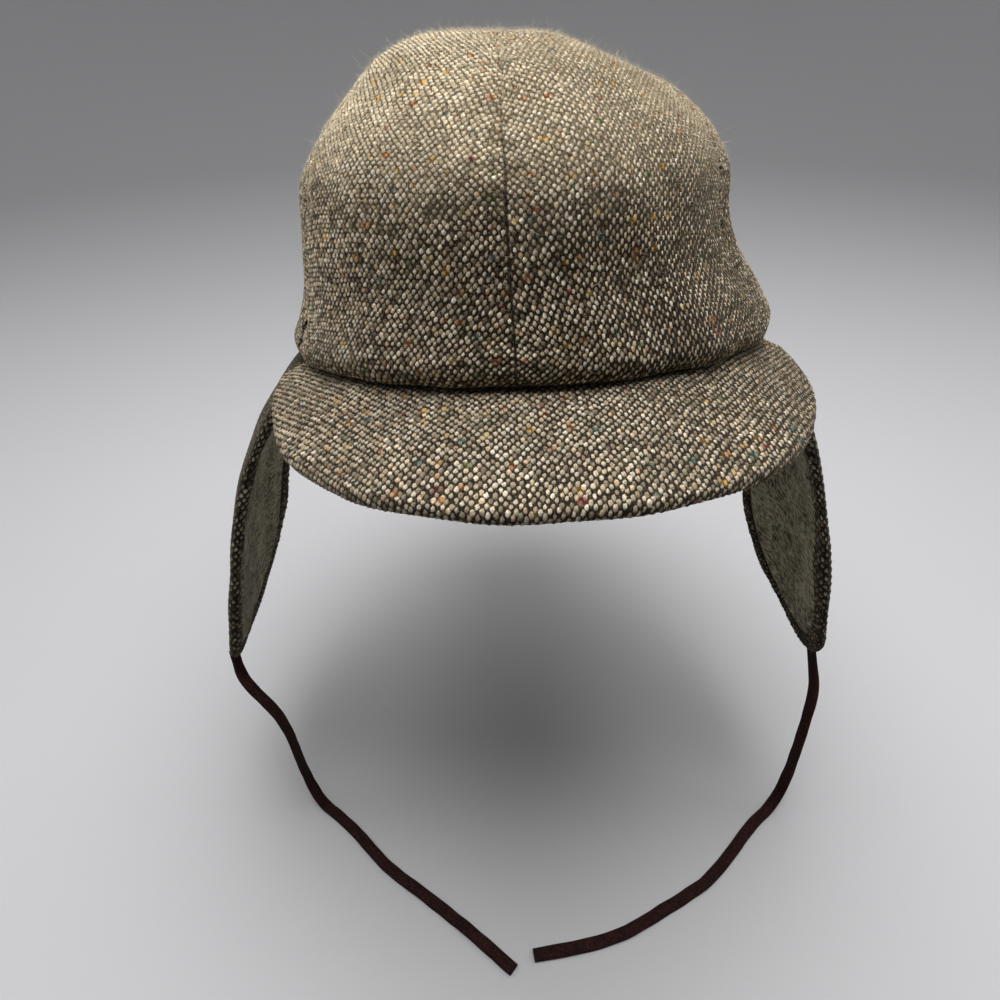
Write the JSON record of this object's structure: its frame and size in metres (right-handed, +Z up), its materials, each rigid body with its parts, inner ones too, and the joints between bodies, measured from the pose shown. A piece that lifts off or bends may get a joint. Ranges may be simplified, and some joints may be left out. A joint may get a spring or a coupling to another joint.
{
  "type": "deerstalker hat",
  "caption": "Tweed deerstalker hat with a front and a back peak, lined ear flaps hanging down and a loose suede lace at each flap's tip.",
  "frame": {"origin": "centre of the head opening, in the plane of the crown's bottom edge", "axes": "+Z up, front peak towards -Y, the wearer's left at +X; the hat is tipped back 10 degrees and leaned 1.5 degrees as it is worn"},
  "size_m": [0.2598, 0.2974, 0.3055],
  "materials": {
    "tweed": "coarse wool tweed, flecked",
    "felted_lining": "felted wool",
    "suede_lace": "matt suede"
  },
  "bodies": {
    "root": {"crown_panel_1": "tweed", "crown_panel_2": "tweed", "crown_panel_3": "tweed", "crown_panel_4": "tweed", "crown_panel_5": "tweed", "crown_panel_6": "tweed", "front_peak": "tweed", "back_peak": "tweed", "earflap_left": "tweed", "earflap_right": "tweed", "earflap_lining_left": "felted_lining", "earflap_lining_right": "felted_lining", "tie_cord_left": "suede_lace", "tie_cord_right": "suede_lace"}
  },
  "joints": []
}
